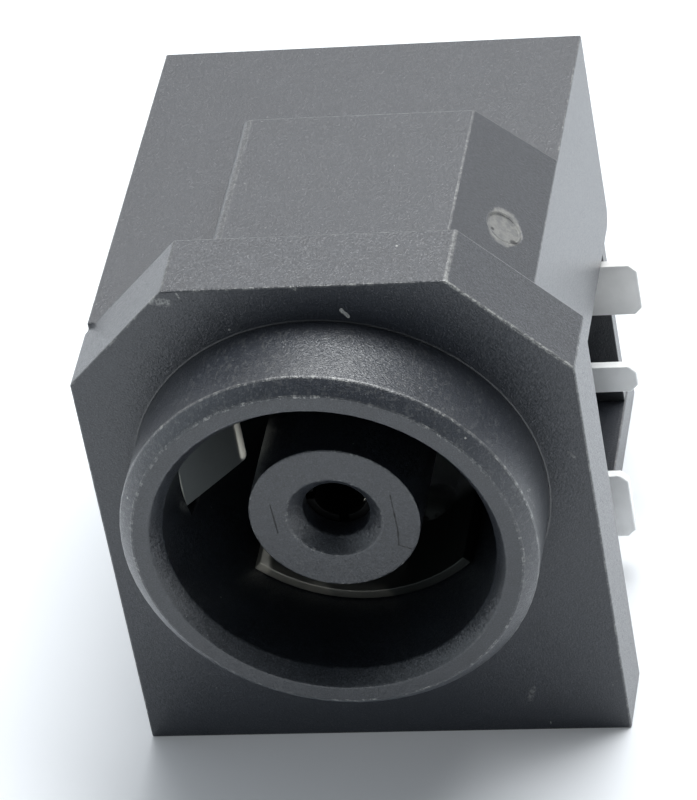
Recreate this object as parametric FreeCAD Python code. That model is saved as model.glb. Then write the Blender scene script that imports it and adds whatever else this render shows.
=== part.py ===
import FreeCAD, Part
import math
import os

# Dc barrel jack for a board edge, in millimetres.
# The bore axis is the Y axis, +Y runs into the jack and +Z is up.
# The origin is on the bore axis at the front face of the flange.
# The board lies against the +X side, and the legs point along +X.

Vector = FreeCAD.Vector

# Plug that the jack takes
plug_barrel_radius = 3.25
plug_barrel_bore_radius = 2.2
plug_pin_radius = 0.7

# Flange
flange_half_width = 6.0
flange_above_axis = 5.95
flange_below_axis = 7.8
flange_thickness = 2.0
flange_corner = 2.65

# Bore and the collar round its mouth
barrel_clearance = 0.68
bore_depth = 7.0
collar_wall = 1.02
collar_length = 2.4
collar_bevel = 0.33
mouth_chamfer = 0.27
mouth_chamfer_depth = 0.39

# Post in the middle of the bore
post_clearance = 0.15
post_recess = 1.25
pin_clearance = 0.1
pin_hole_length = 0.85
pin_hole_chamfer = 0.34
pin_hole_chamfer_depth = 0.32

# Body behind the flange
body_above_axis = 3.6
body_left_step = 0.1
bore_wall = 0.84
side_wall = 0.85
top_wall = 0.8
bottom_wall = 0.8
web_thickness = 1.0
chamber_depth = 3.8
bay_below_axis = 2.15
bay_corner_radius = 0.5

# Roof of the bore, which stands up from the body
roof_wall = 1.27
roof_left = 2.8
roof_right = 2.95
roof_end_wall = 0.85
roof_edge_radius = 0.25

# Round mould mark on the sloped side of the roof
mould_mark_radius = 0.47
mould_mark_depth = 0.05
mould_mark_behind_flange = 2.23
mould_mark_up_slope = 1.04

# Sheet metal of the contacts
sheet = 0.25
bend_radius = 0.3
fit_gap = 0.03
leg_reach = 0.85
leg_spacing = 0.1
leg_tip_chamfer = 0.2

# Centre contact, a rolled socket with four beams
socket_squeeze = 0.06
socket_beam_slot = 0.22
socket_root = 2.5
socket_tail = 1.0
centre_strap_width = 1.3
centre_strap_to_cover = 0.1
centre_leg_drop = 0.2
centre_leg_width = 1.55

# Sleeve contact, a curved saddle on the bottom of the bore
saddle_front = 0.5
saddle_half_angle = 43.0
saddle_dimple_radius = 0.6
saddle_dimple_squeeze = 0.06
saddle_dimple_angle = 22.0
saddle_dimple_setback = 2.9
sleeve_strap_width = 2.4
sleeve_strap_to_floor = 0.55
sleeve_leg_clearance = 0.18

# Side spring contact, a leaf at the left of the bore
spring_width = 1.7
spring_squeeze = 0.5
spring_tip_y = 0.4
spring_tip_flare = 0.1
spring_ramp = 1.9
spring_straight = 1.2
spring_room = 0.15
spring_boss_wall = 0.8
spring_boss_length = 1.4
spring_leg_width = 0.8
spring_column_width = 1.3

# Rear cover
cover_thickness = 1.4
cover_rib_width = 1.0
cover_chamfer = 0.9
latch_height = 1.6
latch_length = 0.7
latch_catch = 0.35

# Radii about the bore axis
bore_radius = plug_barrel_radius + barrel_clearance
collar_radius = bore_radius + collar_wall
shell_radius = bore_radius + bore_wall
post_radius = plug_barrel_bore_radius - post_clearance
pin_hole_radius = plug_pin_radius + pin_clearance
socket_inner = plug_pin_radius - socket_squeeze
socket_outer = socket_inner + sheet
cavity_radius = plug_pin_radius + sheet + fit_gap
saddle_outer = bore_radius - fit_gap
saddle_inner = saddle_outer - sheet

# Places across the jack
board_face = shell_radius
leg_end = board_face + leg_reach
body_left = flange_half_width - body_left_step
inner_left = body_left - side_wall
inner_right = board_face - side_wall
spring_back = -inner_left + fit_gap + sheet
spring_column_right = -inner_left + fit_gap + spring_column_width
spring_channel_right = spring_back + 2 * spring_room
spring_channel_half = spring_width / 2 + spring_room

# Places up and down, from the bore axis
inner_top = body_above_axis - top_wall
inner_bottom = -flange_below_axis + bottom_wall
bay_top = -bay_below_axis
roof_top = bore_radius + roof_wall
centre_leg_top = bay_top - centre_leg_drop
centre_leg_low = centre_leg_top - centre_leg_width
spring_leg_top = centre_leg_low - leg_spacing
spring_leg_low = spring_leg_top - spring_leg_width
sleeve_leg_top = -shell_radius - sleeve_leg_clearance
sleeve_leg_low = inner_bottom + leg_spacing

# Places along the jack, from the front face of the flange
post_front = post_recess - collar_length
cavity_front = post_front + pin_hole_length
web_rear = bore_depth + web_thickness
roof_end = bore_depth + roof_end_wall
cover_front = web_rear + chamber_depth
body_end = cover_front + cover_thickness
latch_front = cover_front + (cover_thickness - latch_length) / 2
sleeve_strap_y = bore_depth - sleeve_strap_to_floor - sheet
spring_strap_y = web_rear + spring_boss_length
centre_strap_y = cover_front - centre_strap_to_cover - sheet


def box(x0, x1, y0, y1, z0, z1):
    """A block between two corners."""
    return Part.makeBox(x1 - x0, y1 - y0, z1 - z0, Vector(x0, y0, z0))


def rod(radius, y0, y1):
    """A cylinder on the bore axis."""
    return Part.makeCylinder(radius, y1 - y0, Vector(0, y0, 0), Vector(0, 1, 0))


def prism(outline, y0, y1):
    """An outline of (x, z) points, pulled from y0 to y1."""
    points = [Vector(x, y0, z) for x, z in outline]
    face = Part.Face(Part.makePolygon(points + points[:1]))
    return face.extrude(Vector(0, y1 - y0, 0))


def upright_wedge(outline, z0, z1):
    """An outline of (x, y) points, pulled from z0 to z1."""
    points = [Vector(x, y, z0) for x, y in outline]
    face = Part.Face(Part.makePolygon(points + points[:1]))
    return face.extrude(Vector(0, 0, z1 - z0))


def turned(profile, half_angle=180.0):
    """A profile of (radius, y) points, turned about the bore axis.

    A part turn is centred on the bottom of the bore.
    """
    points = [Vector(radius, y, 0) for radius, y in profile]
    face = Part.Face(Part.makePolygon(points + points[:1]))
    face.rotate(Vector(0, 0, 0), Vector(0, 1, 0), 90 - half_angle)
    return face.revolve(Vector(0, 0, 0), Vector(0, 1, 0), 2 * half_angle)


def joined(first, *others):
    """One solid made of solids that meet."""
    return first.fuse(list(others)).removeSplitter()


def bent_wire(points, radius):
    """Straight runs in the XY plane with an arc of one radius at each inner point."""
    edges = []
    start = points[0]
    for before, corner, after in zip(points, points[1:], points[2:]):
        back = (before - corner).normalize()
        ahead = (after - corner).normalize()
        half_turn = back.getAngle(ahead) / 2
        setback = radius / math.tan(half_turn)
        bisector = (back + ahead).normalize()
        centre = corner + bisector * (radius / math.sin(half_turn))
        arc_start = corner + back * setback
        arc_end = corner + ahead * setback
        arc_middle = centre - bisector * radius
        edges.append(Part.LineSegment(start, arc_start).toShape())
        edges.append(Part.Arc(arc_start, arc_middle, arc_end).toShape())
        start = arc_end
    edges.append(Part.LineSegment(start, points[-1]).toShape())
    return Part.Wire(edges)


def bent_strip(outline, z0, z1, offset, radius=bend_radius):
    """A strip of sheet that follows (x, y) points, with its width along Z.

    A positive offset puts the sheet on the right of the path, and a negative one on its left.
    """
    wire = bent_wire([Vector(x, y, z0) for x, y in outline], radius)
    face = wire.makeOffset2D(offset, 0, True, True)
    return face.extrude(Vector(0, 0, z1 - z0))


def strap(left, right, top, leg_top, leg_low, y):
    """A flat strap across the jack: a column from leg_low to top, and a leg along +X."""
    outline = [
        (left, leg_low),
        (leg_end - leg_tip_chamfer, leg_low),
        (leg_end, leg_low + leg_tip_chamfer),
        (leg_end, leg_top - leg_tip_chamfer),
        (leg_end - leg_tip_chamfer, leg_top),
        (right, leg_top),
        (right, top),
        (left, top),
    ]
    return prism(outline, y, y + sheet)


def flange():
    """The front plate with its two upper corners cut off."""
    outline = [
        (-flange_half_width, -flange_below_axis),
        (flange_half_width, -flange_below_axis),
        (flange_half_width, flange_above_axis - flange_corner),
        (flange_half_width - flange_corner, flange_above_axis),
        (-flange_half_width + flange_corner, flange_above_axis),
        (-flange_half_width, flange_above_axis - flange_corner),
    ]
    return prism(outline, 0, flange_thickness)


def collar():
    """The round collar with its outer bevel."""
    profile = [
        (0, 0),
        (0, -collar_length),
        (collar_radius - collar_bevel, -collar_length),
        (collar_radius, -collar_length + collar_bevel),
        (collar_radius, 0),
    ]
    return turned(profile)


def roof():
    """The raised cover of the bore: flat on top, sloped on the board side."""
    outline = [
        (-roof_left, 0),
        (board_face, 0),
        (board_face, body_above_axis),
        (roof_right, roof_top),
        (-roof_left, roof_top),
    ]
    block = prism(outline, flange_thickness, roof_end)
    top_left = [
        edge
        for edge in block.Edges
        if edge.BoundBox.XMax < -roof_left + fit_gap
        and edge.BoundBox.ZMin > roof_top - fit_gap
    ]
    return block.makeFillet(roof_edge_radius, top_left)


def mould_mark():
    """A shallow round sinking on the sloped side of the roof."""
    slope_foot = Vector(board_face, flange_thickness + mould_mark_behind_flange, body_above_axis)
    up_slope = Vector(roof_right - board_face, 0, roof_top - body_above_axis).normalize()
    outward = Vector(up_slope.z, 0, -up_slope.x)
    centre = slope_foot + up_slope * mould_mark_up_slope
    return Part.makeCylinder(
        mould_mark_radius,
        mould_mark_depth * 2,
        centre - outward * mould_mark_depth,
        outward,
    )


def body_blank():
    """The body behind the flange, still solid."""
    return box(
        -body_left, board_face,
        flange_thickness, body_end,
        -flange_below_axis, body_above_axis,
    )


def bore_and_post():
    """The space that the plug's barrel enters, with the post left standing."""
    space = turned([
        (0, -collar_length - fit_gap),
        (bore_radius + mouth_chamfer, -collar_length - fit_gap),
        (bore_radius + mouth_chamfer, -collar_length),
        (bore_radius, -collar_length + mouth_chamfer_depth),
        (bore_radius, bore_depth),
        (0, bore_depth),
    ])
    return space.cut(rod(post_radius, post_front, bore_depth))


def pin_passage():
    """The pin hole in the post and the wider seat of the socket behind it."""
    return turned([
        (0, post_front - fit_gap),
        (pin_hole_radius + pin_hole_chamfer, post_front - fit_gap),
        (pin_hole_radius + pin_hole_chamfer, post_front),
        (pin_hole_radius, post_front + pin_hole_chamfer_depth),
        (pin_hole_radius, cavity_front),
        (cavity_radius, cavity_front),
        (cavity_radius, web_rear),
        (0, web_rear),
    ])


def front_bay():
    """The space under the bore's shell, open to the board side."""
    space = box(
        -inner_left, board_face + fit_gap,
        flange_thickness, bore_depth,
        inner_bottom, bay_top,
    )
    return space.cut(rod(shell_radius, flange_thickness, bore_depth))


def rear_chamber():
    """The space behind the web, open at the rear and low on the board side."""
    hollow = box(
        -inner_left, inner_right,
        web_rear, body_end + fit_gap,
        inner_bottom, inner_top,
    )
    side_opening = box(
        0, board_face + fit_gap,
        web_rear, body_end + fit_gap,
        inner_bottom, bay_top,
    )
    return joined(hollow, side_opening)


def wall_corner():
    """What the rounded rear corner of the board side wall leaves out."""
    corner = box(
        inner_right - fit_gap, board_face + fit_gap,
        body_end - bay_corner_radius, body_end + fit_gap,
        bay_top - fit_gap, bay_top + bay_corner_radius,
    )
    round_end = Part.makeCylinder(
        bay_corner_radius,
        side_wall + 4 * fit_gap,
        Vector(
            inner_right - 2 * fit_gap,
            body_end - bay_corner_radius,
            bay_top + bay_corner_radius,
        ),
        Vector(1, 0, 0),
    )
    return corner.cut(round_end)


def spring_boss():
    """The block behind the web that guides the side spring."""
    half = spring_channel_half + spring_boss_wall
    return box(
        -inner_left, spring_channel_right + spring_boss_wall,
        web_rear, spring_strap_y - fit_gap,
        -half, half,
    )


def spring_channel():
    """The slot in the bore's left wall, through the web, that the side spring lies in."""
    in_bore = box(
        -inner_left, -post_radius,
        spring_tip_y - spring_room, bore_depth,
        -spring_channel_half, spring_channel_half,
    )
    in_web = box(
        -inner_left, spring_channel_right,
        bore_depth, spring_strap_y,
        -spring_channel_half, spring_channel_half,
    )
    return joined(in_bore, in_web).cut(rod(post_radius, 0, bore_depth))


def sleeve_slot():
    """The slot in the bore's bottom that the sleeve contact's strap goes down through."""
    half = sleeve_strap_width / 2 + fit_gap
    return box(
        -half, half,
        sleeve_strap_y - fit_gap, sleeve_strap_y + sheet + fit_gap,
        -shell_radius - fit_gap, -saddle_inner,
    )


def latch_window():
    """The window in the left wall that the rear cover's latch snaps into."""
    half = latch_height / 2 + fit_gap
    return box(
        -body_left - fit_gap, -inner_left + fit_gap,
        latch_front - fit_gap, latch_front + latch_length + fit_gap,
        -half, half,
    )


def housing():
    """The black moulding: flange, collar, post, bore, body and roof in one piece."""
    solid = joined(flange(), collar(), body_blank(), roof())
    solid = solid.cut(rear_chamber())
    solid = joined(solid, spring_boss())
    for space in (
        bore_and_post(),
        pin_passage(),
        front_bay(),
        wall_corner(),
        spring_channel(),
        sleeve_slot(),
        latch_window(),
        mould_mark(),
    ):
        solid = solid.cut(space)
    return solid


def rear_cover():
    """The black plug that closes the rear and holds the contacts down."""
    left = -inner_left + fit_gap
    right = inner_right - fit_gap
    board_side = board_face - fit_gap
    low = inner_bottom + fit_gap
    step = bay_top - fit_gap
    top = inner_top - fit_gap
    plate = prism([
        (left, low),
        (board_side, low),
        (board_side, step),
        (right, step),
        (right, top),
        (left, top),
    ], cover_front, body_end)
    corner = upright_wedge([
        (board_side, body_end - cover_chamfer),
        (board_side, body_end),
        (board_side - cover_chamfer, body_end),
    ], low, step)
    catch = upright_wedge([
        (left, latch_front),
        (left, latch_front + latch_length),
        (left - latch_catch, latch_front + latch_length),
    ], -latch_height / 2, latch_height / 2)
    centre_rib = box(
        -cover_rib_width / 2, cover_rib_width / 2,
        centre_strap_y + sheet + fit_gap, cover_front,
        centre_leg_low, -socket_outer,
    )
    column_middle = left + spring_column_width / 2
    spring_rib = box(
        column_middle - cover_rib_width / 2, column_middle + cover_rib_width / 2,
        spring_strap_y + sheet + fit_gap, cover_front,
        spring_leg_top, -spring_width / 2,
    )
    return joined(plate.cut(corner), catch, centre_rib, spring_rib)


def centre_contact():
    """The rolled socket in the post, its tongue, its strap behind the web and its leg."""
    tail_end = web_rear + socket_tail
    beam_end = web_rear - socket_root
    tube = rod(socket_outer, cavity_front + fit_gap, tail_end)
    tube = tube.cut(rod(socket_inner, cavity_front, tail_end + fit_gap))
    outside = socket_outer + fit_gap
    half_slot = socket_beam_slot / 2
    for half_x, half_z in ((half_slot, outside), (outside, half_slot)):
        tube = tube.cut(box(-half_x, half_x, cavity_front, beam_end, -half_z, half_z))
    half = centre_strap_width / 2
    tongue = box(
        -half, half,
        tail_end - socket_tail / 2, centre_strap_y + sheet,
        -socket_outer, -socket_inner,
    )
    leg_strap = strap(
        -half, half, -socket_inner, centre_leg_top, centre_leg_low, centre_strap_y
    )
    return joined(tube, tongue, leg_strap)


def sleeve_contact():
    """The curved saddle that the plug's barrel slides over, its strap and its leg."""
    saddle_rear = sleeve_strap_y + sheet
    saddle = turned([
        (saddle_inner, saddle_front),
        (saddle_outer, saddle_front),
        (saddle_outer, saddle_rear),
        (saddle_inner, saddle_rear),
    ], saddle_half_angle)
    touch = plug_barrel_radius - saddle_dimple_squeeze + saddle_dimple_radius
    dimple_y = saddle_front + saddle_dimple_setback
    skin = rod(saddle_outer - sheet / 2, saddle_front, saddle_rear)
    for side in (-1, 1):
        angle = math.radians(side * saddle_dimple_angle)
        place = Vector(touch * math.sin(angle), dimple_y, -touch * math.cos(angle))
        dimple = Part.makeSphere(saddle_dimple_radius, place)
        saddle = saddle.fuse(dimple.common(skin))
    half = sleeve_strap_width / 2
    leg_strap = strap(
        -half, half, -saddle_inner - sheet / 2, sleeve_leg_top, sleeve_leg_low, sleeve_strap_y
    )
    return joined(saddle, leg_strap)


def side_spring():
    """The leaf at the left of the bore, its strap behind the web and its leg."""
    half = spring_width / 2
    leaf = bent_strip([
        (-bore_radius - spring_tip_flare, spring_tip_y),
        (-plug_barrel_radius + spring_squeeze, spring_tip_y + spring_ramp),
        (spring_back, bore_depth - spring_straight),
        (spring_back, spring_strap_y),
        (spring_column_right, spring_strap_y),
    ], -half, half, -sheet)
    leg_strap = strap(
        spring_back + bend_radius, spring_column_right, half,
        spring_leg_top, spring_leg_low, spring_strap_y,
    )
    return joined(leaf, leg_strap)


pieces = {
    "housing": housing(),
    "rear_cover": rear_cover(),
    "centre_contact": centre_contact(),
    "sleeve_contact": sleeve_contact(),
    "side_spring": side_spring(),
}

os.makedirs("parts", exist_ok=True)
for name, shape in pieces.items():
    shape.exportStep("parts/" + name + ".step")
    print(name, "solids", len(shape.Solids), "valid", shape.isValid(), "volume", round(shape.Volume, 3))
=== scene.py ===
import math

import bpy
from mathutils import Matrix, Vector

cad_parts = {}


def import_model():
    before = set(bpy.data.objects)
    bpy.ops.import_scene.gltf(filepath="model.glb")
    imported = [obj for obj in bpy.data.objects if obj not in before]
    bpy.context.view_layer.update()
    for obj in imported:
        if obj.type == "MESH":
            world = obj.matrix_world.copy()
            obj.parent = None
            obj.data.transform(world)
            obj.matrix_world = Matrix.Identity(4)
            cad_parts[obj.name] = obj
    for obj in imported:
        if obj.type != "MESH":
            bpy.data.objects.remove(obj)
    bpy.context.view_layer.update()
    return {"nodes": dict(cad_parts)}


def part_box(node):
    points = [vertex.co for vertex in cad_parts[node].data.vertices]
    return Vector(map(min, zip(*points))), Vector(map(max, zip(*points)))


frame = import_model()

# A dc barrel jack: x points to the circuit board, y runs into the jack and z points up.
# Values on the jack are in millimetres, unless they are times MM. The lamp and table are in metres.
MM = 0.001

# Camera, as the photograph was taken
target = Vector((0.58, 0.0, 2.603)) * MM
camera_distance = 119.005 * MM
camera_azimuth = 14.876
camera_elevation = 37.157
camera_roll = -10.985
camera_lens = 230.12
sensor_width = 36
near_clip, far_clip = 0.01, 10

# Window: place, what it is aimed at, size, power and colour
window_place = (0.085, 0.165, 0.41)
window_aim = (0, 0.003, 0)
window_size = (0.38, 0.23)
window_power = 2.95
window_color = (0.965, 0.985, 1.0)

# How bright the room is on each side of the jack, and its colours
room_rear = 1.60
room_front = 0.15
room_left = 1.20
room_right = 0.45
room_front_color = (0.84, 0.925, 1.0, 1)
room_rear_color = (0.88, 0.945, 1.0, 1)
white = (1, 1, 1, 1)

# White table, and the share of plain white that the camera sees in it
housing_low, housing_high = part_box("housing")
floor_height = housing_low.z
floor_half = 1.2
floor_clouds = 0.02
floor_colors = (0.885, 0.905, 0.93, 1), (0.90, 0.915, 0.935, 1)
floor_glow = 0.07
floor_roughness = 0.6
floor_specular = 0.3

# Rounds on edges: of the moulding, of cut sheet, and where steps are narrow
plastic_edge = 0.045 * MM
sheet_edge = 0.03 * MM
narrow_edge = 0.018 * MM
round_steps = 2
crease_angle = 28.0
flat_angle = 0.4
weld_reach = 0.001 * MM

# Plastic: colours of its low and high grains, and its gloss
housing_colors = (0.004, 0.005, 0.008, 1), (0.035, 0.041, 0.053, 1)
edge_colors = (0.014, 0.016, 0.020, 1), (0.060, 0.064, 0.072, 1)
cover_colors = (0.008, 0.009, 0.011, 1), (0.030, 0.032, 0.037, 1)
edge_wear = 0.5
plastic_roughness = (0.32, 0.48)
plastic_specular = 0.6
plastic_coat = 0.45
plastic_coat_roughness = 0.30

# Grain: patterns in a millimetre, and depth
pit_scale = 26.0
crater_scale = 19.0
grain_scale = 30.0
facet_scale = 27.0
crater_relief = 0.5
smooth_relief = 0.4
grain_depth = 0.008 * MM

# The grain's strength outside, in the smoother zone and in the calm one
tone_spread = (0.24, 0.13, 0.34)
# The second row is the share of grains painted pale as glints, a painted highlight.
painted_glint_share = (0.22, 0.12, 0.08)
facet_lean = (0.14, 0.19, 0.09)
handled_lean = 0.11
# The pale colour of the grains painted as glints.
painted_glint_color = (0.30, 0.30, 0.29, 1)

# The smoother zone that the core pin leaves round the bore
core_radius = 4.62
core_depth = 6.5
smooth_light = (0.028, 0.033, 0.041, 1)

# The calm zone, where the grain is finer, starts between these two depths
calm_start = 1.9
calm_end = 3.2

# The collar's outside is scuffed between these radii
collar_inner = 4.55
collar_outer = 5.0
collar_root = -0.25
scraped_share = 0.14
scraped_color = (0.30, 0.30, 0.28, 1)

# The ring is rubbed at its outer rim, not at the mouth
ring_depth = -1.9
rim_inner = 4.25
rim_outer = 4.45
rim_wear = (0.3, 1.6)
worn_color = (0.36, 0.36, 0.34, 1)

# The corner between collar and flange stays dark and isn't rubbed
root_half = 0.12
root_radius = 5.2
root_wear = 0.05
root_color = (0.014, 0.016, 0.019, 1)

# Dust, thick in some places, and fibres, with their strength outside the calm zone and in it
dust_strength = (0.6, 0.2)
dust_scale, dust_size = 5.0, 0.17
dust_share_low, dust_share_high = 0.008, 0.05
fibre_scale, fibre_size = 6.0, 0.2
fibre_share = 0.012
fibre_stretch = (1.0, 1.0, 0.3)
dust_color = (0.46, 0.46, 0.43, 1)

# The rough disc on the sloped side of the roof, and its dark pits with their radii
mark_centre = (3.97, 4.23, 4.27)
mark_radius = 0.51
mark_squeeze = (1.0, 0.7, 1.0)
mark_colors = (0.17, 0.17, 0.165, 1), (0.255, 0.25, 0.23, 1)
mark_pits = [
    ((4.23, 3.95, 4.05), 0.14),
    ((3.76, 4.03, 4.45), 0.07),
]
mark_pit_color = (0.02, 0.02, 0.02, 1)
mark_strength = 0.7
mark_roughness = 0.75
mark_relief = 0.9

# Fine lines on the face of the post
post_y = -1.15
post_hairlines = [
    ((1.43, post_y, 0.65), (1.46, post_y, -0.41)),
    ((1.46, post_y, -0.41), (1.42, post_y, -0.87)),
    ((1.42, post_y, -0.87), (1.71, post_y, -1.00)),
    ((-1.47, post_y, 0.46), (-1.42, post_y, -0.40)),
]
hairline_width = 0.024
hairline_color = (0.003, 0.003, 0.004, 1)
groove_tilt = (0.0, 0.0, 0.4)

# Pale knocks and scratches, and one painted glint: start, end, width and strength
scuff_marks = [
    ((0.82, 0.0, 5.23), (0.95, 0.0, 5.04), 0.055, 4.0),
    ((-3.70, 0.0, 5.72), (-3.25, 0.0, 5.62), 0.15, 0.45),
    ((-2.97, 0.0, 5.88), (-2.92, 0.0, 5.74), 0.03, 0.6),
    ((-0.27, 0.0, 5.98), (-0.15, 0.0, 5.88), 0.06, 0.6),
    ((3.62, 0.0, -6.80), (3.75, 0.0, -6.45), 0.09, 0.22),
    ((5.55, 0.0, 0.85), (5.66, 0.0, 0.70), 0.04, 0.5),
    ((4.86, -1.9, 1.26), (4.80, -1.45, 0.95), 0.04, 0.6),
    ((4.72, -2.1, 1.90), (4.93, -1.7, 0.60), 0.03, 0.5),
    # A painted glint: a pale streak on the bore wall beside the tip of the spring leaf.
    ((-3.91, -0.15, -0.28), (-3.88, 0.15, -0.62), 0.14, 0.3),
]
# The pale colour of the knocks, also used for the painted highlights below.
scuff_and_highlight_color = (0.50, 0.50, 0.47, 1)

# Pale lines painted along edges of the flange and the roof as highlights on their rounds, with the
# same four values
flange_top = housing_high.z / MM
flange_side = housing_high.x / MM
flange_rear = 2.0
corner = 2.65
roof_left, roof_top, roof_end = -2.62, 5.2, 7.8
top_right = flange_side - corner
top_left = -top_right
side_top = flange_top - corner
painted_edge_highlights = [
    ((top_right, 0.0, flange_top), (top_right, flange_rear, flange_top), 0.09, 0.22),
    ((top_right, 0.0, flange_top), (flange_side, 0.0, side_top), 0.08, 0.55),
    ((top_left, flange_rear, flange_top), (top_right, flange_rear, flange_top), 0.05, 0.2),
    ((flange_side, 0.0, side_top), (flange_side, 0.0, -1.0), 0.05, 0.25),
    ((roof_left, flange_rear, roof_top), (roof_left, roof_end, roof_top), 0.14, 0.16),
]

# Tin plate: its two tones, and the painted shade that darkens it in the bore, on the left and on
# the right
tin_colors = (0.90, 0.90, 0.89, 1), (0.96, 0.96, 0.95, 1)
socket_colors = (0.90, 0.89, 0.87, 1), (0.96, 0.95, 0.93, 1)
saddle_shade = (0.26, 0.26, 0.24, 1), (0.06, 0.065, 0.06, 1)
leaf_shade = (0.36, 0.385, 0.38, 1), (0.36, 0.385, 0.38, 1)
socket_shade = (0.010, 0.010, 0.010, 1), (0.010, 0.010, 0.010, 1)
dull_and_shade_depth = 3.0
tin_roughness = (0.26, 0.42)
dull_roughness = 0.25
tin_metallic, dull_metallic = 0.35, 0.85
roller_stretch = (9.0, 0.8, 9.0)
roller_depth = 0.004 * MM

# Painted highlights: pale streaks with the normal leant forward, on the leaf's crest, the contacts'
# cut edges and the socket's rim, with the same four values
crest_x, crest_y, leaf_half = -2.78, 2.2, 0.85
leaf_highlights = [
    ((crest_x, crest_y, 0.2 - leaf_half), (crest_x, crest_y, leaf_half), 0.24, 0.70),
    ((-4.03, 0.4, -leaf_half), (-4.03, 0.4, 0.2), 0.12, 0.35),
]
saddle_highlights = [
    ((-2.5, 0.5, -2.85), (-2.5, 1.4, -2.85), 0.30, 0.6),
    ((-2.3, 0.5, -3.10), (-1.2, 0.5, -3.68), 0.42, 0.32),
    ((-1.2, 0.5, -3.68), (0.3, 0.5, -3.87), 0.42, 0.24),
]
socket_highlight = [
    ((0.60, 0.0, -0.30), (0.52, 0.0, -0.50), 0.09, 1.0),
]
highlight_paint_color = (0.78, 0.72, 0.60, 1)
highlight_roughness = 0.30
highlight_tilt = (0.14, -0.97, 0.17)


def node_tree(name):
    """A new material with its tree emptied."""
    material = bpy.data.materials.new(name)
    material.use_nodes = True
    material.node_tree.nodes.clear()
    return material, material.node_tree


class Builder:
    """Short ways to add shader nodes and join them."""

    def __init__(self, tree):
        self.tree = tree

    def node(self, kind, **settings):
        made = self.tree.nodes.new(kind)
        for key, value in settings.items():
            setattr(made, key, value)
        return made

    def link(self, source, socket):
        self.tree.links.new(source, socket)

    def fill(self, socket, value):
        """Links a socket, or sets a plain value."""
        if isinstance(value, bpy.types.NodeSocket):
            self.link(value, socket)
        else:
            socket.default_value = value

    def math(self, operation, first, second=0.0, clamp=False):
        made = self.node("ShaderNodeMath", operation=operation, use_clamp=clamp)
        self.fill(made.inputs[0], first)
        self.fill(made.inputs[1], second)
        return made.outputs[0]

    def plus(self, first, second):
        return self.math("ADD", first, second)

    def times(self, first, second):
        return self.math("MULTIPLY", first, second)

    def without(self, value):
        """1 less the value."""
        return self.math("SUBTRACT", 1.0, value)

    def below(self, value, limit):
        """1 below the limit, 0 above it."""
        return self.math("LESS_THAN", value, limit)

    def mix(self, factor, low, high):
        """A number between low and high."""
        made = self.node("ShaderNodeMix", data_type="FLOAT", clamp_factor=True)
        self.fill(made.inputs["Factor"], factor)
        self.fill(made.inputs["A"], low)
        self.fill(made.inputs["B"], high)
        return made.outputs["Result"]

    def blend(self, factor, low, high):
        """A colour between low and high."""
        made = self.node("ShaderNodeMix", data_type="RGBA", clamp_factor=True)
        self.fill(made.inputs["Factor"], factor)
        self.fill(made.inputs[6], low)
        self.fill(made.inputs[7], high)
        return made.outputs[2]

    def between(self, value, low, high, smooth=True):
        """0 below low, 1 above high."""
        kind = "SMOOTHSTEP" if smooth else "LINEAR"
        made = self.node("ShaderNodeMapRange", interpolation_type=kind, clamp=True)
        self.fill(made.inputs["Value"], value)
        self.fill(made.inputs["From Min"], low)
        self.fill(made.inputs["From Max"], high)
        return made.outputs["Result"]

    def vector(self, operation, first, second=(0, 0, 0)):
        made = self.node("ShaderNodeVectorMath", operation=operation)
        self.fill(made.inputs[0], first)
        self.fill(made.inputs["Scale" if operation == "SCALE" else 1], second)
        return made.outputs["Value" if operation in ("DISTANCE", "DOT_PRODUCT") else "Vector"]

    def split(self, vector):
        parts = self.node("ShaderNodeSeparateXYZ")
        self.link(vector, parts.inputs[0])
        return parts.outputs

    def place(self):
        """The place on the jack, in millimetres."""
        return self.vector("SCALE", self.node("ShaderNodeTexCoord").outputs["Object"], 1 / MM)

    def shifted(self, place, offset, stretch=(1, 1, 1)):
        """The place moved and stretched, so that one pattern doesn't follow another."""
        mapping = self.node("ShaderNodeMapping")
        self.link(place, mapping.inputs["Vector"])
        mapping.inputs["Location"].default_value = offset
        mapping.inputs["Scale"].default_value = stretch
        return mapping.outputs["Vector"]

    def noise(self, place, scale, detail=2.0, roughness=0.5):
        made = self.node("ShaderNodeTexNoise")
        self.link(place, made.inputs["Vector"])
        made.inputs["Scale"].default_value = scale
        made.inputs["Detail"].default_value = detail
        made.inputs["Roughness"].default_value = roughness
        return made.outputs["Fac"]

    def wobble(self, place, scale, roughness, size):
        """A noise that goes to both sides of 0."""
        middled = self.math("SUBTRACT", self.noise(place, scale, 2.0, roughness), 0.5)
        return self.times(middled, size)

    def cells(self, place, scale):
        made = self.node("ShaderNodeTexVoronoi")
        self.link(place, made.inputs["Vector"])
        made.inputs["Scale"].default_value = scale
        return made.outputs

    def specks(self, place, scale, share, size):
        """Dots in a share of the cells, each of about that size in cell widths."""
        cells = self.cells(place, scale)
        parts = self.node("ShaderNodeSeparateColor")
        self.link(cells["Color"], parts.inputs[0])
        chosen = self.below(parts.outputs[0], share)
        reach = self.times(parts.outputs[1], size)
        return self.times(chosen, self.below(cells["Distance"], reach))

    def streak(self, place, start, end, width, wobble):
        """1 on a thin line from start to end, 0 away from it."""
        run = Vector(end) - Vector(start)
        moved = self.vector("SUBTRACT", place, start)
        along = self.vector("DOT_PRODUCT", moved, run / run.length_squared)
        foot = self.vector("SCALE", run, self.math("MULTIPLY", along, 1.0, clamp=True))
        reach = self.math("ABSOLUTE", self.plus(self.vector("DISTANCE", moved, foot), wobble))
        return self.without(self.between(reach, width * 0.5, width))

    def facing(self):
        return self.node("ShaderNodeNewGeometry").outputs["Normal"]

    def facets(self, place, scale, tilt):
        """A normal that leans another way on each grain."""
        grain = self.cells(place, scale)["Color"]
        lean = self.vector("SCALE", self.vector("SUBTRACT", grain, (0.5, 0.5, 0.5)), tilt)
        return self.vector("NORMALIZE", self.vector("ADD", self.facing(), lean))

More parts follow.
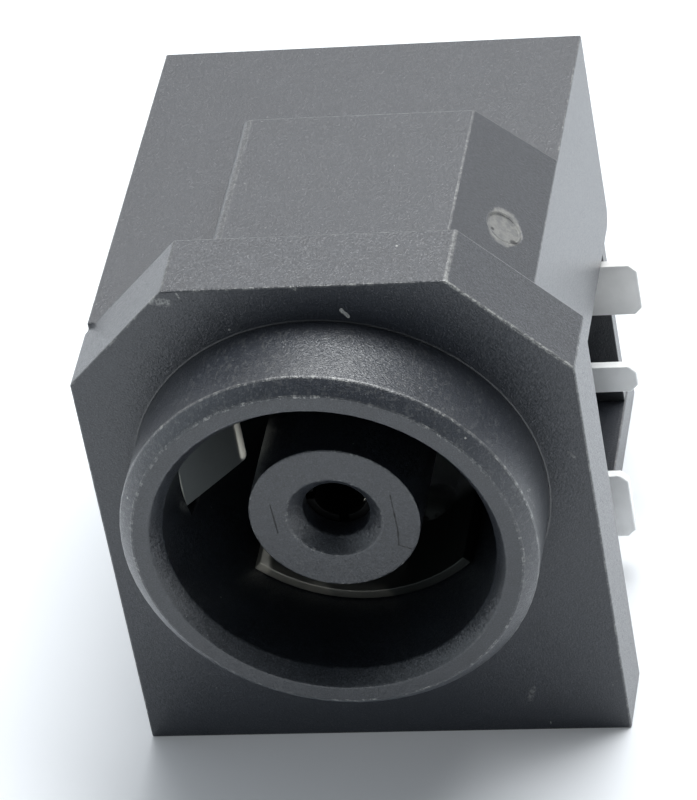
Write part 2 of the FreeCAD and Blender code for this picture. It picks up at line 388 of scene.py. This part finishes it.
    def bump(self, height, strength, distance, normal):
        made = self.node("ShaderNodeBump")
        made.inputs["Strength"].default_value = strength
        made.inputs["Distance"].default_value = distance
        self.link(height, made.inputs["Height"])
        self.link(normal, made.inputs["Normal"])
        return made.outputs["Normal"]

    def shader(self, color, roughness, specular):
        made = self.node("ShaderNodeBsdfPrincipled")
        self.fill(made.inputs["Base Color"], color)
        self.fill(made.inputs["Roughness"], roughness)
        made.inputs["Specular IOR Level"].default_value = specular
        return made

    def mix_shader(self, factor, low, high):
        made = self.node("ShaderNodeMixShader")
        self.fill(made.inputs[0], factor)
        self.link(low.outputs[0], made.inputs[1])
        self.link(high.outputs[0], made.inputs[2])
        return made

    def output(self, shader, kind="ShaderNodeOutputMaterial"):
        self.link(shader.outputs[0], self.node(kind).inputs["Surface"])


class Zones:
    """Parts of the plastic, each as a number from 0 outside to 1 inside."""

    def __init__(self, b, place):
        x, y, z = b.split(place)
        self.b = b
        self.depth = y
        self.radius = b.math("SQRT", b.plus(b.times(x, x), b.times(z, z)))
        near = b.without(b.between(self.radius, core_radius - 0.03, core_radius))
        self.smooth = b.times(near, b.without(b.between(y, core_depth, core_depth + 0.2)))
        self.calm = b.between(y, calm_start, calm_end)
        outer = b.between(self.radius, collar_inner, collar_inner + 0.1)
        collar = b.times(outer, b.below(y, collar_root))
        self.handled = b.times(collar, b.below(self.radius, collar_outer))

    def pick(self, values):
        """The first value outside, the second in the smooth zone, the third in the calm one."""
        outside, smooth, calm = values
        return self.b.mix(self.calm, self.b.mix(self.smooth, outside, smooth), calm)


def plastic(name, colors, worn=0.0, lined=False):
    """Black moulded polyester: spark-eroded outside, smoother round the bore, worn on edges."""
    material, tree = node_tree(name)
    b = Builder(tree)
    place = b.place()
    zones = Zones(b, place)

    color = dusty(b, place, zones, grain_color(b, place, zones, colors))
    if worn:
        color = rubbed_edges(b, place, zones, color, worn)
    scraped = b.noise(b.shifted(place, (4, 4, 6), (1.0, 0.5, 1.0)), 9.0, 3.0, 0.75)
    scraped = b.times(zones.handled, b.between(scraped, 0.50, 0.68))
    color = b.blend(b.times(scraped, scraped_share), color, scraped_color)

    pits = b.noise(place, pit_scale, 2.0, 0.7)
    craters = b.cells(b.shifted(place, (2, 8, 5)), crater_scale)["Distance"]
    height = b.plus(pits, b.times(craters, crater_relief))
    height = b.times(height, b.mix(zones.smooth, 1.0, smooth_relief))
    rough = b.mix(pits, *plastic_roughness)
    color, rough, height = mould_mark(b, place, color, rough, height)

    lines = hairlines(b, place) if lined else 0.0
    color = scuffs_and_highlights(b, place, b.blend(lines, color, hairline_color))
    lean = b.mix(zones.handled, zones.pick(facet_lean), handled_lean)
    facets = b.facets(place, facet_scale, lean)
    facets = b.vector("NORMALIZE", b.vector("ADD", facets, b.vector("SCALE", groove_tilt, lines)))
    normal = b.bump(height, 1.0, grain_depth, facets)

    skin = b.shader(color, rough, plastic_specular)
    b.link(normal, skin.inputs["Normal"])
    b.link(normal, skin.inputs["Coat Normal"])
    skin.inputs["Coat Weight"].default_value = plastic_coat
    skin.inputs["Coat Roughness"].default_value = plastic_coat_roughness
    b.output(skin)
    return material


def grain_color(b, place, zones, colors):
    """Dark and pale grains with broad clouds in them, and single grains painted pale as glints."""
    dark, light = colors
    broad = b.noise(b.shifted(place, (3, 5, 7)), 0.8, 3.0, 0.55)
    cloudy = b.noise(b.shifted(place, (8, 4, 1)), 3.5, 2.0, 0.6)
    grain = b.noise(b.shifted(place, (6, 2, 9)), grain_scale, 1.0, 0.5)
    tone = b.plus(b.plus(b.times(grain, 0.72), b.times(broad, 0.14)), b.times(cloudy, 0.14))
    spread = zones.pick(tone_spread)
    lift = b.between(tone, b.math("SUBTRACT", 0.5, spread), b.plus(0.5, spread), smooth=False)
    color = b.blend(lift, dark, b.blend(zones.smooth, light, smooth_light))
    # Pale grains painted in as glints: painted highlights.
    painted_glints = b.times(b.between(grain, 0.64, 0.78), zones.pick(painted_glint_share))
    return b.blend(painted_glints, color, painted_glint_color)


def dusty(b, place, zones, color):
    """Specks of dust and short fibres, few in the calm zone."""
    crowd = b.between(b.noise(b.shifted(place, (1, 7, 3)), 0.55), 0.44, 0.62)
    share = b.mix(crowd, dust_share_low, dust_share_high)
    dust = b.specks(b.shifted(place, (1.3, 0.4, 2.2)), dust_scale, share, dust_size)
    fibres = b.shifted(place, (4.3, 2.4, 0.2), fibre_stretch)
    fibres = b.specks(fibres, fibre_scale, fibre_share, fibre_size)
    litter = b.times(b.math("MAXIMUM", dust, fibres), b.mix(zones.calm, *dust_strength))
    return b.blend(litter, color, dust_color)


def rubbed_edges(b, place, zones, color, worn):
    """Pale flakes along the edges, in runs."""
    runs = b.between(b.noise(b.shifted(place, (5, 3, 8)), 0.75), 0.40, 0.62)
    flakes = b.between(b.noise(b.shifted(place, (9, 1, 4)), 6.5, 3.0, 0.75), 0.47, 0.66)
    wear = b.times(flakes, b.mix(runs, 0.25, 1.0))
    root = b.below(b.math("ABSOLUTE", zones.depth), root_half)
    root = b.times(root, b.below(zones.radius, root_radius))
    wear = b.times(wear, b.mix(root, worn, worn * root_wear))
    rim = b.mix(b.between(zones.radius, rim_inner, rim_outer), *rim_wear)
    wear = b.times(wear, b.mix(b.below(zones.depth, ring_depth), 1.0, rim))
    return b.blend(wear, b.blend(root, color, root_color), worn_color)


def mould_mark(b, place, color, rough, height):
    """The small rough disc on the sloped side of the roof, torn pale, with two dark pits."""
    centre = tuple(value * squeeze for value, squeeze in zip(mark_centre, mark_squeeze))
    reach = b.vector("DISTANCE", b.shifted(place, (0, 0, 0), mark_squeeze), centre)
    reach = b.plus(reach, b.wobble(place, 5.0, 0.6, 0.20))
    disc = b.without(b.between(reach, mark_radius - 0.09, mark_radius))
    torn = b.noise(b.shifted(place, (2, 2, 2)), 5.0, 3.0, 0.7)
    pale = b.blend(b.between(torn, 0.36, 0.64), *mark_colors)
    color = b.blend(b.times(disc, mark_strength), color, pale)
    for centre, size in mark_pits:
        pit = b.without(b.between(b.vector("DISTANCE", place, centre), size * 0.5, size))
        color = b.blend(pit, color, mark_pit_color)
    rough = b.mix(disc, rough, mark_roughness)
    height = b.plus(height, b.times(b.times(torn, disc), mark_relief))
    return color, rough, height


def hairlines(b, place):
    """Fine flow lines on the face of the post: 1 on a line."""
    wobble = b.wobble(place, 5.0, 0.5, 0.05)
    lines = 0.0
    for start, end in post_hairlines:
        lines = b.math("MAXIMUM", b.streak(place, start, end, hairline_width, wobble), lines)
    return lines


def scuffs_and_highlights(b, place, color):
    """Pale knocks and scratches, a painted glint, and highlights painted along edges."""
    wobble = b.wobble(place, 9.0, 0.6, 0.05)
    ragged = b.between(b.noise(b.shifted(place, (3, 9, 3)), 12.0, 2.0, 0.7), 0.42, 0.60)
    ragged = b.mix(ragged, 0.15, 1.0)
    # The knocks and scratches are marks; the edge lines and the bore glint are painted highlights.
    for start, end, width, strength in scuff_marks + painted_edge_highlights:
        mark = b.times(b.streak(place, start, end, width, wobble), ragged)
        color = b.blend(b.times(mark, strength), color, scuff_and_highlight_color)
    return color


def metal(name, colors, shade_tones, painted_highlights):
    """Tin plate, satin with faint rolling lines, rougher in the bore and painted dark there as
    shade, with highlights painted on as pale streaks.
    """
    material, tree = node_tree(name)
    b = Builder(tree)
    place = b.place()
    x, y, _ = b.split(place)
    inside = b.without(b.between(y, dull_and_shade_depth, dull_and_shade_depth + 1.0))
    tone = b.blend(b.between(b.noise(place, 1.6, 3.0, 0.6), 0.3, 0.7), *colors)
    # Painted shade: the tin is darkened inside the bore, more on the right.
    tone = b.blend(inside, tone, b.blend(b.between(x, -0.5, 1.2), *shade_tones))
    lines = b.noise(b.shifted(place, (0, 0, 0), roller_stretch), 2.2)
    rough = b.plus(b.mix(lines, *tin_roughness), b.times(inside, dull_roughness))
    normal = b.facing()
    for start, end, width, strength in painted_highlights:
        # Each mark paints a highlight: a pale colour and a normal leant toward the light in front.
        mark = b.times(b.streak(place, start, end, width, 0.0), strength)
        tone = b.blend(mark, tone, highlight_paint_color)
        rough = b.mix(mark, rough, highlight_roughness)
        kept = b.vector("SCALE", normal, b.without(mark))
        normal = b.vector("ADD", kept, b.vector("SCALE", highlight_tilt, mark))
    normal = b.bump(lines, 0.25, roller_depth, b.vector("NORMALIZE", normal))

    skin = b.shader(tone, rough, 0.5)
    b.link(normal, skin.inputs["Normal"])
    b.link(b.mix(inside, tin_metallic, dull_metallic), skin.inputs["Metallic"])
    b.output(skin)
    return material


def dress(node_name, width, *materials):
    """Puts materials in a node's slots and small rounds on its sharp edges."""
    piece = frame["nodes"][node_name]
    piece.data.materials.clear()
    for material in materials:
        piece.data.materials.append(material)
    weld = piece.modifiers.new("weld", "WELD")
    weld.merge_threshold = weld_reach
    plain = piece.modifiers.new("plain_faces", "DECIMATE")
    plain.decimate_type = "DISSOLVE"
    plain.angle_limit = math.radians(flat_angle)
    rounds = piece.modifiers.new("rounds", "BEVEL")
    rounds.width = width
    rounds.segments = round_steps
    rounds.limit_method = "ANGLE"
    rounds.angle_limit = math.radians(crease_angle)
    rounds.use_clamp_overlap = False
    rounds.material = 1 if len(materials) > 1 else -1
    flats = piece.modifiers.new("flat_faces_stay_flat", "WEIGHTED_NORMAL")
    flats.mode = "FACE_AREA"
    flats.weight = 100
    flats.keep_sharp = True


def camera():
    """The camera at the photograph's angle."""
    azimuth = math.radians(camera_azimuth)
    elevation = math.radians(camera_elevation)
    back = Vector((
        math.sin(azimuth) * math.cos(elevation),
        -math.cos(azimuth) * math.cos(elevation),
        math.sin(elevation),
    ))
    data = bpy.data.cameras.new("camera")
    data.lens = camera_lens
    data.sensor_width = sensor_width
    data.clip_start = near_clip
    data.clip_end = far_clip
    made = bpy.data.objects.new("camera", data)
    turn = (-back).to_track_quat("-Z", "Y").to_matrix().to_4x4()
    roll = Matrix.Rotation(math.radians(camera_roll), 4, "Z")
    made.matrix_world = Matrix.Translation(target + back * camera_distance) @ turn @ roll
    bpy.context.scene.collection.objects.link(made)
    bpy.context.scene.camera = made


def window():
    """One big soft window, high behind the jack."""
    data = bpy.data.lights.new("high_window", "AREA")
    data.shape = "RECTANGLE"
    data.size, data.size_y = window_size
    data.energy = window_power
    data.color = window_color
    made = bpy.data.objects.new("high_window", data)
    made.location = window_place
    made.rotation_mode = "QUATERNION"
    made.rotation_quaternion = (Vector(window_aim) - Vector(window_place)).to_track_quat("-Z", "Y")
    bpy.context.scene.collection.objects.link(made)


def world():
    """A room, dim in front. The camera sees it white, and gloss and glass see its rear white."""
    made = bpy.data.worlds.new("world")
    made.use_nodes = True
    made.node_tree.nodes.clear()
    b = Builder(made.node_tree)
    x, y, _ = b.split(b.node("ShaderNodeTexCoord").outputs["Generated"])
    level = 0.0
    sides = (y, 1, room_rear), (y, -1, room_front), (x, -1, room_left), (x, 1, room_right)
    for part, sign, strength in sides:
        facing = b.math("MAXIMUM", b.times(part, sign), 0.0)
        level = b.plus(b.times(b.times(facing, facing), strength), level)
    room = b.node("ShaderNodeBackground")
    b.link(b.blend(b.between(y, 0.0, 0.6), room_front_color, room_rear_color), room.inputs["Color"])
    b.link(level, room.inputs["Strength"])
    backdrop = b.node("ShaderNodeBackground")
    backdrop.inputs["Color"].default_value = white
    path = b.node("ShaderNodeLightPath").outputs
    mirrored = b.math("MAXIMUM", path["Is Glossy Ray"], path["Is Transmission Ray"])
    mirrored = b.times(mirrored, b.between(y, 0.0, 0.3))
    shown = b.math("MAXIMUM", path["Is Camera Ray"], mirrored)
    b.output(b.mix_shader(shown, room, backdrop), "ShaderNodeOutputWorld")
    bpy.context.scene.world = made


def floor():
    """A white table top that keeps the jack's shadow."""
    half = floor_half
    corners = [(-half, -half), (half, -half), (half, half), (-half, half)]
    mesh = bpy.data.meshes.new("floor")
    mesh.from_pydata([(x, y, floor_height) for x, y in corners], [], [(0, 1, 2, 3)])
    made = bpy.data.objects.new("floor", mesh)
    bpy.context.scene.collection.objects.link(made)
    material, tree = node_tree("white_table")
    b = Builder(tree)
    tone = b.blend(b.noise(b.place(), floor_clouds), *floor_colors)
    table = b.shader(tone, floor_roughness, floor_specular)
    glow = b.times(b.node("ShaderNodeLightPath").outputs["Is Camera Ray"], floor_glow)
    b.output(b.mix_shader(glow, table, b.node("ShaderNodeEmission")))
    mesh.materials.append(material)


housing_black = plastic("housing_black", housing_colors, lined=True)
housing_edges = plastic("housing_edges", edge_colors, worn=edge_wear)
cover_black = plastic("cover_black", cover_colors)
contact_tin = metal("contact_tin", tin_colors, saddle_shade, saddle_highlights)
spring_tin = metal("spring_tin", tin_colors, leaf_shade, leaf_highlights)
socket_tin = metal("socket_tin", socket_colors, socket_shade, socket_highlight)

dress("housing", plastic_edge, housing_black, housing_edges)
dress("rear_cover", narrow_edge, cover_black)
dress("centre_contact", narrow_edge, socket_tin)
dress("sleeve_contact", sheet_edge, contact_tin)
dress("side_spring", sheet_edge, spring_tin)

camera()
window()
world()
floor()

bpy.context.scene.view_settings.view_transform = "Standard"

bpy.context.view_layer.update()
